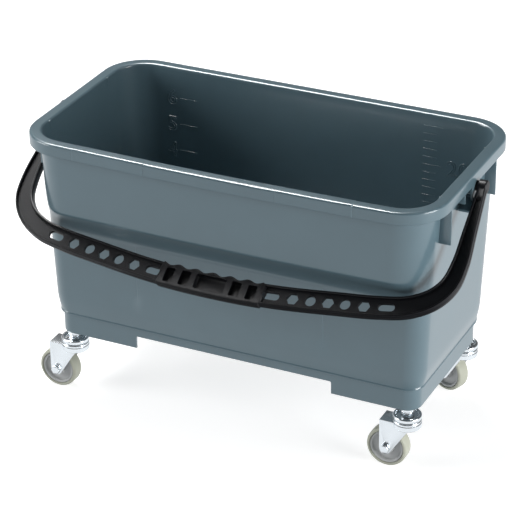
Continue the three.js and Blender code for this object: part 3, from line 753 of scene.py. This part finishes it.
class BUCKET_OT_level_ticks(bpy.types.Operator):
    """Raises the litre and gallon lines on the back wall's inner face."""

    bl_idname = "bucket.level_ticks"
    bl_label = "Level ticks"

    def execute(self, context):
        s, marks = context.scene.bucket_settings, context.scene.mark_settings
        points, long_marks = tick_points(s, marks)
        ticks = mesh_object("level_ticks", points, [], "bucket plastic", bucket_place())
        ticks.data.attributes.new("long_mark", "FLOAT", "POINT").data.foreach_set("value", long_marks)
        tree = tick_tree()
        grow = ticks.modifiers.new("ticks", "NODES")
        grow.node_group = tree
        values = {
            "Short length": marks.tick * MM, "Long length": marks.long_tick * MM,
            "Line width": marks.line * MM, "Relief": marks.relief * MM, "Lean": -s.back_draft,
            "Material": finish_of("bucket plastic"),
        }
        for item in tree.interface.items_tree:
            if item.in_out == "INPUT" and item.name in values:
                grow[item.identifier] = values[item.name]
        settle(ticks)
        rounded(outward(ticks), 0.4, 3)
        placed_on(shaded(ticks), "bucket", "bucket")
        return {"FINISHED"}


def numeral(words, x, z, s, marks):
    """A numeral drawn as a raised outline on the back wall's inner face."""
    curve = bpy.data.curves.new("numeral", "FONT")
    curve.body = words
    curve.size = marks.numeral * MM * 1.37
    curve.fill_mode = "NONE"
    curve.bevel_depth = marks.line * MM / 2
    curve.bevel_resolution = 1
    curve.resolution_u = 5
    curve.space_character = 1.1
    made = bpy.data.objects.new("numeral_" + words, curve)
    bpy.context.scene.collection.objects.link(made)
    graph = bpy.context.evaluated_depsgraph_get()
    mesh = bpy.data.meshes.new_from_object(made.evaluated_get(graph))
    bpy.data.objects.remove(made)
    turn = Matrix.Rotation(math.pi / 2 - s.back_draft, 4, "X")
    mesh.transform(Matrix.Translation(Vector((x, HINGE.y + inside_back(s, z), z)) * MM) @ turn)
    mesh.materials.clear()
    mesh.materials.append(finish_of("bucket plastic"))
    piece = bpy.data.objects.new("numeral_" + words, mesh)
    bpy.context.scene.collection.objects.link(piece)
    return shaded(piece)


class BUCKET_OT_numerals(bpy.types.Operator):
    """Raises the numerals beside the long lines."""

    bl_idname = "bucket.numerals"
    bl_label = "Numerals"

    def execute(self, context):
        s, marks = context.scene.bucket_settings, context.scene.mark_settings
        for words, x, depth in NUMERALS:
            placed_on(numeral(words, x, RIM_HEIGHT - depth, s, marks), "bucket", "bucket")
        return {"FINISHED"}


# ---- the bail handle ----

HOLES = (
    (75, "slot"), (100.5, "hexagon"), (121.5, "round"), (142, "hexagon"), (162, "round"),
    (184, "hexagon"), (209.5, "slot"),
)
POCKETS = ((-52, 5.6), (-32, 6), (0, 19), (32, 6), (52, 5.6))
# The bar runs along the front beyond FRONT_RUN, and is solid within EYE_RUN of the axis.
FRONT_RUN, EYE_RUN = -100, -16
BAIL_LINE = (
    (193, 2.5), (118, 10.5), (68, 17), (36, 24.5), (12, 39.5), (-1.3, 59.5), (-5.2, 87.5), (-3.2, 127.5),
)


def handle_line(h, eye):
    """The bar's middle line, from the left eye to the right, as (x, y), y towards the grip < 0."""
    half = [(0, h.reach)] + [(eye - inward, h.reach - short) for inward, short in BAIL_LINE] + [(eye, 0)]
    points = [Vector((-px, -py)) for px, py in reversed(half[1:])]
    points += [Vector((px, -py)) for px, py in half]
    return points


def through(points, per_span):
    """Points of a centripetal Catmull-Rom curve through the given ones."""
    ends = [2 * points[0] - points[1], *points, 2 * points[-1] - points[-2]]
    found = []
    for k in range(1, len(ends) - 2):
        p0, p1, p2, p3 = ends[k - 1:k + 3]
        t1 = (p1 - p0).length ** 0.5
        t2 = t1 + (p2 - p1).length ** 0.5
        t3 = t2 + (p3 - p2).length ** 0.5
        for i in range(per_span):
            t = t1 + (t2 - t1) * i / per_span
            a1 = p0 * ((t1 - t) / t1) + p1 * (t / t1)
            a2 = p1 * ((t2 - t) / (t2 - t1)) + p2 * ((t - t1) / (t2 - t1))
            a3 = p2 * ((t3 - t) / (t3 - t2)) + p3 * ((t - t2) / (t3 - t2))
            b1 = a1 * ((t2 - t) / t2) + a2 * (t / t2)
            b2 = a2 * ((t3 - t) / (t3 - t1)) + a3 * ((t - t1) / (t3 - t1))
            found.append(b1 * ((t2 - t) / (t2 - t1)) + b2 * ((t - t1) / (t2 - t1)))
    return [*found, points[-1]]


def even(points, gap, near_x, near_gap):
    """The same line with evenly spaced points, closer together in the grip."""
    found, left = [points[0]], 0.0
    want = gap
    for a, b in zip(points, points[1:]):
        length = (b - a).length
        while left + length >= want:
            p = a.lerp(b, (want - left) / length)
            found.append(p)
            step = near_gap if abs(p.x) < near_x and p.y < FRONT_RUN else gap
            want += step
        left += length
    if (found[-1] - points[-1]).length < gap / 3:
        found.pop()
    return [*found, points[-1]]


def handle_stations(h, eye):
    """(point, across) along the bar, where across points to the inner side."""
    line = even(through(handle_line(h, eye), 24), 3.0, h.grip_half + 3, 1.0)
    found = []
    for i, p in enumerate(line):
        along = (line[min(i + 1, len(line) - 1)] - line[max(i - 1, 0)]).normalized()
        found.append((p, Vector((-along.y, along.x))))
    return found


def half_widths(h, p):
    """The bar's half width on its inner and outer side."""
    share = min(1.0, -p.y / (h.reach - h.bar / 2))
    plain = (h.arm + (h.bar - h.arm) * share) / 2
    if abs(p.x) > h.grip_half:
        return plain, plain
    wave = math.cos(p.x / h.pitch * 2 * math.pi)
    return h.grip / 2 + h.scallop * (wave - 1) / 2, h.grip / 2


def handle_section(h, p):
    """The bar's section as (across, thickness) pairs: two flanges with a web between them."""
    inner, outer = half_widths(h, p)
    solid = abs(p.x) < h.grip_half + 3 or p.y > EYE_RUN
    thick = 6.0 if abs(p.x) < h.grip_half and p.y < FRONT_RUN else 5.7
    web = thick - 0.05 if solid else 2.0
    flange = 2.8
    top = [
        (inner, thick - 1.3), (inner - 0.4, thick - 0.4), (inner - 1.3, thick),
        (inner - flange + 0.5, thick), (inner - flange, thick - 0.5 if not solid else thick),
        (inner - flange - 0.4, web), (-outer + flange + 0.4, web),
        (-outer + flange, thick - 0.5 if not solid else thick), (-outer + flange - 0.5, thick),
        (-outer + 1.7, thick), (-outer + 0.8, thick - 0.4), (-outer + 0.4, thick - 1.3),
        (-outer + 0.4, 0.7), (-outer, 0.3),
    ]
    return top + [(a, -t) for a, t in reversed(top)]


def handle_bar(h, eye):
    rings = []
    for p, across in handle_stations(h, eye):
        ring = []
        for a, t in handle_section(h, p):
            q = p + across * a
            ring.append((q.x, q.y, t))
        rings.append(ring)
    return outward(mesh_object("bail_handle", *skin(rings), "handle plastic"))


def hole_outline(kind):
    if kind == "hexagon":
        return arc(0, 0, 7.4, 0, 300, 5)
    if kind == "round":
        return arc(0, 0, 6.4, 0, 348.75, 31)
    return arc(5.2, 0, 4.6, -90, 90, 12) + arc(-5.2, 0, 4.6, 90, 270, 12)


def handle_cutters(h, eye):
    """The holes through the web, and the pockets in the grip's face."""
    stations = handle_stations(h, eye)
    cutters = []
    for distance, kind in HOLES:
        for x in (-distance, distance):
            near = [q for q in stations if q[0].y < FRONT_RUN]
            p, across = min(near, key=lambda q: abs(q[0].x - x))
            place = Matrix.Translation((x, p.y, 0)) @ Matrix.Rotation(
                math.atan2(-across.x, across.y), 4, "Z")
            cutters.append(extruded("hole", hole_outline(kind), -9, 9, "handle plastic", place))
    width = h.grip / 2 - h.scallop - 2.6
    for x, half in POCKETS:
        low = (x - half, -h.reach - width, -1.5)
        pocket = block("pocket", low, (x + half, -h.reach + width, 9), "handle plastic")
        cutters.append(rounded(outward(pocket), 1.6, 3))
    return cutters


def handle_end(s, h, side):
    """An eye at the end of an arm, with the stud that turns in the bucket's boss."""
    eye_low = arm_middle(s, h) - h.arm / 2 - 0.2
    eye_high = eye_low + h.arm + 0.4
    tip = skirt_face(s) - 8
    profile = [(0, tip), (5.2, tip), (6.0, tip + 0.8), (6.0, eye_low), (7.2, eye_low), (8.0, eye_low + 0.8)]
    profile.append((8.0, eye_high - 1.4))
    profile += [(6.6 + r, eye_high - 1.4 + z) for r, z in arc(0, 0, 1.4, 20, 90, 4)]
    profile.append((0, eye_high))
    lay = Matrix.Diagonal((side, 1, 1, 1)) @ Matrix.Rotation(math.pi / 2, 4, "Y")
    return turned("eye", profile, "handle plastic", lay, 48)


class BUCKET_OT_handle(bpy.types.Operator):
    """Makes the bail: flanged bar with holes, grip with finger waves, eyes and studs."""

    bl_idname = "bucket.handle"
    bl_label = "Bail handle"

    def execute(self, context):
        s, h = context.scene.bucket_settings, context.scene.handle_settings
        eye = arm_middle(s, h)
        bar = handle_bar(h, eye)
        combined(bar, handle_cutters(h, eye), "DIFFERENCE")
        combined(bar, [handle_end(s, h, 1), handle_end(s, h, -1)], "UNION")
        hang = Matrix.Translation(HINGE * MM) @ Matrix.Rotation(h.rest, 4, "X")
        bar.data.transform(hang)
        placed_on(shaded(bar, 35), "bail", "handle", "bail")
        return {"FINISHED"}


# ---- the castors ----

# Radii of the swivel pin, its clearance bore, and the axle's clearance bore.
PIN_RADIUS, PIN_BORE, AXLE_BORE = 4.0, 4.4, 3.3
LEG_GAP = 1.1
NUT_ACROSS = 10.0


def castor_places(name):
    """Where a castor's stem stands, where its fork points, and where its wheel turns."""
    stem = Matrix.Translation((*(Vector(JOINTS["swivel_" + name]["pos_m"]) / MM).xy, 0))
    axis = Vector(JOINTS["spin_" + name]["axis"])
    turn = stem @ Matrix.Rotation(math.atan2(-axis.x, axis.y), 4, "Z")
    return stem, turn


def wheel_place(turn, c):
    lay = Matrix.Rotation(-math.pi / 2, 4, "X")
    return turn @ Matrix.Translation((-c.trail, 0, c.wheel)) @ lay


def head_heights(c):
    """Bottom, split and top of the swivel head, above the floor."""
    low = 2 * c.wheel + c.over
    return low, low + c.crown, low + c.crown + c.cup


def stem_piece(c, name, stem):
    """Thread, round shoulder, swivel pin and rivet."""
    low, _, top = head_heights(c)
    rivet, seat, foot = low + c.plate, top - 2.5, FOOT_BOTTOM - 0.4
    profile = [(0, rivet - 2.5), (4.6, rivet - 2.5), (5.8, rivet - 1.4), (5.8, rivet)]
    profile += [(PIN_RADIUS, rivet), (PIN_RADIUS, seat)]
    profile += [(7.6, seat), (8.2, seat + 0.6), (8.2, foot - 0.5), (7.7, foot), (PIN_RADIUS, foot)]
    for i in range(10):
        z = foot + 1.0 + i * 1.25
        profile += [(PIN_RADIUS, z), (3.6, z + 0.6)]
    profile += [(3.0, foot + 14.2), (0, foot + 14.2)]
    piece = turned("castor_stem_" + name, profile, "zinc plate", stem)
    return placed_on(shaded(piece), "bucket", "zinc", "stem_" + name)


def cup_piece(c, name, stem):
    """The top half of the swivel head, dished round the stem."""
    _, split, top = head_heights(c)
    low = split + 0.4
    profile = [(PIN_BORE, low), (c.head - 1.4, low)] + arc(c.head - 1.3, low + 1.3, 1.3, -60, 0, 3)
    profile += arc(c.head - 1.6, top - 1.6, 1.6, 0, 90, 5) + arc(14.6, top - 0.9, 0.9, 90, 180, 4)
    profile += [(13.4, top - 2.2), (12.6, top - 2.8), (PIN_BORE, top - 2.8)]
    piece = turned("castor_cup_" + name, profile, "zinc plate", stem)
    return placed_on(shaded(piece), "bucket", "zinc", "top_cup_" + name)


def insert_piece(name, stem):
    low = FOOT_BOTTOM + 0.4
    profile = [(PIN_BORE, low), (5.8, low), (6.1, low + 0.3), (6.1, low + 14.7), (PIN_BORE, low + 14.7)]
    piece = turned("thread_insert_" + name, profile, "zinc plate", stem, 32)
    return placed_on(shaded(piece), "bucket", "zinc", "insert_" + name)


def fork_piece(c, name, turn):
    """The pressed fork: a dished crown, the plate behind it and two legs."""
    low, split, _ = head_heights(c)
    split, plate = split - 0.2, c.plate
    under = split - 2 * plate
    inside = c.width / 2 + LEG_GAP
    outside = inside + plate
    profile = [(PIN_BORE, under), (c.head - plate - 0.5, under), (c.head - plate, under - 0.8),
               (c.head - plate, low + 0.1), (c.head - 0.3, low + 0.1), (c.head, low + 0.5)]
    profile += [(c.head, split - 4.2), (c.head - 0.7, split - 3.6)]
    profile += [(c.head - 0.7, split - 3.0), (c.head, split - 2.4)]
    profile += arc(c.head - 1.5, split - 1.5, 1.5, 0, 90, 5) + [(PIN_BORE, split)]
    crown = turned("castor_fork_" + name, profile, "zinc plate", turn)
    bridge = block("bridge", (-c.trail - 8, -outside, under - plate), (8, outside, under), "zinc plate", turn)
    parts = [rounded(outward(bridge), 0.7, 2)]
    outline = arc(-c.trail, c.wheel, 7.5, 180, 315, 16)
    outline += [(3, under - 11.5), (8, under - 6), (8, under - 0.01), (-c.trail - 8, under - 0.01)]
    upright = Matrix.Rotation(math.pi / 2, 4, "X")
    for side in (inside, -outside):
        place = turn @ Matrix.Translation((0, side + plate, 0)) @ upright
        leg = extruded("leg", outline, 0, plate, "zinc plate", place)
        parts.append(rounded(leg, 0.35, 2))
    bore = plug("bore", PIN_BORE, low - 9, split + 9, "zinc plate", turn, 48)
    combined(crown, parts, "UNION")
    combined(crown, [bore], "DIFFERENCE")
    return placed_on(shaded(crown), "fork_" + name, "zinc", "fork_" + name)


def hexagon_head(name, low, high, across, place):
    """A hexagon with its outer corners turned off."""
    radius = across / math.sqrt(3)
    head = extruded(name, arc(0, 0, radius, 0, 300, 5), low, high, "zinc plate", place)
    return rounded(head, 0.5, 2, 20)


def axle_pieces(c, name, turn):
    place = wheel_place(turn, c)
    outside = c.width / 2 + LEG_GAP + c.plate
    shank = turned("shank", [(0, -outside - 1), (3, -outside - 1), (3, outside + 5.4), (2.2, outside + 6.3),
                             (0, outside + 6.3)], "zinc plate", place, 40)
    bolt = hexagon_head("axle_bolt_head_" + name, -outside - 3.8, -outside - 0.3, NUT_ACROSS, place)
    combined(bolt, [shank], "UNION")
    placed_on(shaded(bolt), "fork_" + name, "zinc", "axle_bolt_" + name)
    nut = hexagon_head("axle_lock_nut_" + name, outside + 0.3, outside + 4.8, NUT_ACROSS, place)
    bore = plug("bore", AXLE_BORE, 0, 40, "zinc plate", place)
    combined(nut, [bore], "DIFFERENCE")
    placed_on(shaded(nut), "fork_" + name, "zinc", "axle_nut_" + name)
    inner = c.width / 2 + 0.8
    profile = [(AXLE_BORE, -inner), (5.1, -inner), (5.1, inner), (AXLE_BORE, inner)]
    sleeve = turned("axle_tube_" + name, profile, "zinc plate", place, 40)
    placed_on(shaded(sleeve), "fork_" + name, "zinc", "axle_sleeve_" + name)


def wheel_pieces(c, name, turn):
    place = wheel_place(turn, c)
    half, outer, rim = c.width / 2, c.wheel, c.wheel - c.tyre
    side = arc(outer - 3.2, half - 3.2, 3.2, 90, 0, 8)
    tyre_half = [(rim + 0.4, half - 0.9), (rim + 0.9, half - 0.25)] + side + [(outer, 1.2)]
    profile = tyre_half + [(r, -z) for r, z in reversed(tyre_half)]
    tyre = turned("tread_" + name, profile, "pale tread", place, 96)
    placed_on(shaded(tyre, 40), "wheel_" + name, "tread", "wheel_tyre_" + name)
    boss = [(5.5, half - 0.1), (8.2, half - 0.1), (8.8, half - 0.7), (9.4, 3.8), (10, 3.5)]
    web = [(rim - 4, 3.5), (rim - 3.2, 3.9), (rim - 2.6, half - 1.6), (rim - 2.0, half - 1.1)]
    rim_edge = [(rim - 0.3, half - 1.1), (rim, half - 1.6)]
    hub_half = boss + web + rim_edge
    profile = hub_half + [(r, -z) for r, z in reversed(hub_half)]
    hub = turned("hub_" + name, profile, "grey hub", place, 72)
    placed_on(shaded(hub, 40), "wheel_" + name, "hub", "wheel_hub_" + name)


class BUCKET_OT_castors(bpy.types.Operator):
    """Makes the four castors: stems, swivel heads, forks, axles and wheels."""

    bl_idname = "bucket.castors"
    bl_label = "Castors"

    def execute(self, context):
        c = context.scene.castor_settings
        for name in CASTORS:
            stem, turn = castor_places(name)
            insert_piece(name, stem)
            stem_piece(c, name, stem)
            cup_piece(c, name, stem)
            fork_piece(c, name, turn)
            axle_pieces(c, name, turn)
            wheel_pieces(c, name, turn)
        return {"FINISHED"}


# ---- the stage ----


def soft_light(name, place, aim, size, power, tall=None):
    lamp = bpy.data.lights.new(name, "AREA")
    lamp.shape = "RECTANGLE"
    lamp.size = size
    lamp.size_y = tall or size
    lamp.energy = power
    made = bpy.data.objects.new(name, lamp)
    made.location = place
    made.rotation_euler = (Vector(aim) - Vector(place)).to_track_quat("-Z", "Y").to_euler()
    bpy.context.scene.collection.objects.link(made)
    return made


# How bright the studio is, by height from straight down (0) to straight up (1).
STUDIO_BANDS = ((0.0, 0.06), (0.07, 0.06), (0.12, 1.0), (0.46, 1.0), (0.52, 0.1), (1.0, 0.1))


def studio_world():
    """A dim room with a pale sweep round the foot of the stage."""
    world = bpy.data.worlds.new("studio")
    world.use_nodes = True
    tree = world.node_tree
    place = add_node(tree, "ShaderNodeTexCoord")
    split = add_node(tree, "ShaderNodeSeparateXYZ")
    height = add_node(tree, "ShaderNodeMapRange")
    height.inputs["From Min"].default_value = -1.0
    ramp = add_node(tree, "ShaderNodeValToRGB").color_ramp
    for _ in STUDIO_BANDS[2:]:
        ramp.elements.new(0.5)
    for element, (position, level) in zip(ramp.elements, STUDIO_BANDS):
        element.position = position
        element.color = (level * 0.96, level * 0.98, level, 1)
    tree.links.new(place.outputs["Generated"], split.inputs["Vector"])
    tree.links.new(split.outputs["Z"], height.inputs["Value"])
    tree.links.new(height.outputs["Result"], tree.nodes["Color Ramp"].inputs["Fac"])
    tree.links.new(tree.nodes["Color Ramp"].outputs["Color"], tree.nodes["Background"].inputs["Color"])
    return world


def pale_floor():
    floor = block("floor_sheet", (-9000, -9000, -20), (9000, 9000, 0), "bucket plastic")
    material = bpy.data.materials.new("pale floor")
    material.use_nodes = True
    shader = material.node_tree.nodes["Principled BSDF"]
    shader.inputs["Base Color"].default_value = (0.6, 0.6, 0.6, 1)
    shader.inputs["Roughness"].default_value = 0.9
    shader.inputs["Emission Color"].default_value = (1, 1, 1, 1)
    shader.inputs["Emission Strength"].default_value = 0.74
    floor.data.materials.clear()
    floor.data.materials.append(material)
    floor.visible_diffuse = False
    floor.visible_glossy = False


def studio_camera():
    camera = bpy.data.cameras.new("camera")
    camera.lens = 159.96
    camera.sensor_width = 36
    made = bpy.data.objects.new("camera", camera)
    bpy.context.scene.collection.objects.link(made)
    azimuth, elevation, roll = math.radians(25.67), math.radians(27.64), math.radians(-0.54)
    back = Vector((math.cos(elevation) * math.sin(azimuth),
                   -math.cos(elevation) * math.cos(azimuth), math.sin(elevation)))
    turn = back.to_track_quat("Z", "Y").to_matrix().to_4x4() @ Matrix.Rotation(roll, 4, "Z")
    centre = Vector((1.0571, -2.2175 + HINGE.y * MM, 1.1151 + RIM_HEIGHT * MM))
    made.matrix_world = Matrix.Translation(centre) @ turn
    return made


class BUCKET_OT_stage(bpy.types.Operator):
    """Sets the pale floor, the soft lights and the camera."""

    bl_idname = "bucket.stage"
    bl_label = "Stage"

    def execute(self, context):
        scene = context.scene
        scene.view_settings.view_transform = "Standard"
        scene.world = studio_world()
        pale_floor()
        soft_light("right panel", (1.7, -0.2, 0.4), (0.28, 0, 0.25), 0.8, 25)
        soft_light("front panel", (-2.0, -1.15, 0.9), (-0.15, 0, 0.2), 1.2, 32)
        soft_light("overhead panel", (-1.0, 0.8, 2.6), (0, 0, 0.35), 1.2, 60, 1.8)
        sheen = soft_light("edge panel", (-1.0, 0.5, 2.6), (0, 0, 0.35), 1.3, 125, 1.3)
        sheen.visible_diffuse = False
        scene.camera = studio_camera()
        return {"FINISHED"}


class BUCKET_PT_panel(bpy.types.Panel):
    """Lists the pieces of the bucket."""

    bl_label = "Castor Bucket"
    bl_idname = "BUCKET_PT_panel"
    bl_space_type = "VIEW_3D"
    bl_region_type = "UI"
    bl_category = "Bucket"

    def draw(self, context):
        for operator in OPERATORS:
            self.layout.operator(operator.bl_idname)
        for settings in SETTINGS:
            group = getattr(context.scene, settings)
            for name in group.__annotations__:
                self.layout.prop(group, name)


SETTINGS = {
    "bucket_settings": BucketSettings,
    "mark_settings": MarkSettings,
    "handle_settings": HandleSettings,
    "castor_settings": CastorSettings,
}
OPERATORS = (
    BUCKET_OT_shell,
    BUCKET_OT_ends,
    BUCKET_OT_level_ticks,
    BUCKET_OT_numerals,
    BUCKET_OT_handle,
    BUCKET_OT_castors,
    BUCKET_OT_stage,
)


def register():
    for settings in SETTINGS.values():
        bpy.utils.register_class(settings)
    for name, settings in SETTINGS.items():
        setattr(bpy.types.Scene, name, PointerProperty(type=settings))
    for operator in OPERATORS:
        bpy.utils.register_class(operator)
    bpy.utils.register_class(BUCKET_PT_panel)


def unregister():
    bpy.utils.unregister_class(BUCKET_PT_panel)
    for operator in reversed(OPERATORS):
        bpy.utils.unregister_class(operator)
    for name, settings in SETTINGS.items():
        delattr(bpy.types.Scene, name)
        bpy.utils.unregister_class(settings)


def main():
    register()
    bpy.ops.bucket.shell()
    bpy.ops.bucket.ends()
    bpy.ops.bucket.level_ticks()
    bpy.ops.bucket.numerals()
    bpy.ops.bucket.handle()
    bpy.ops.bucket.castors()
    bpy.ops.bucket.stage()


if __name__ == "__main__":
    main()
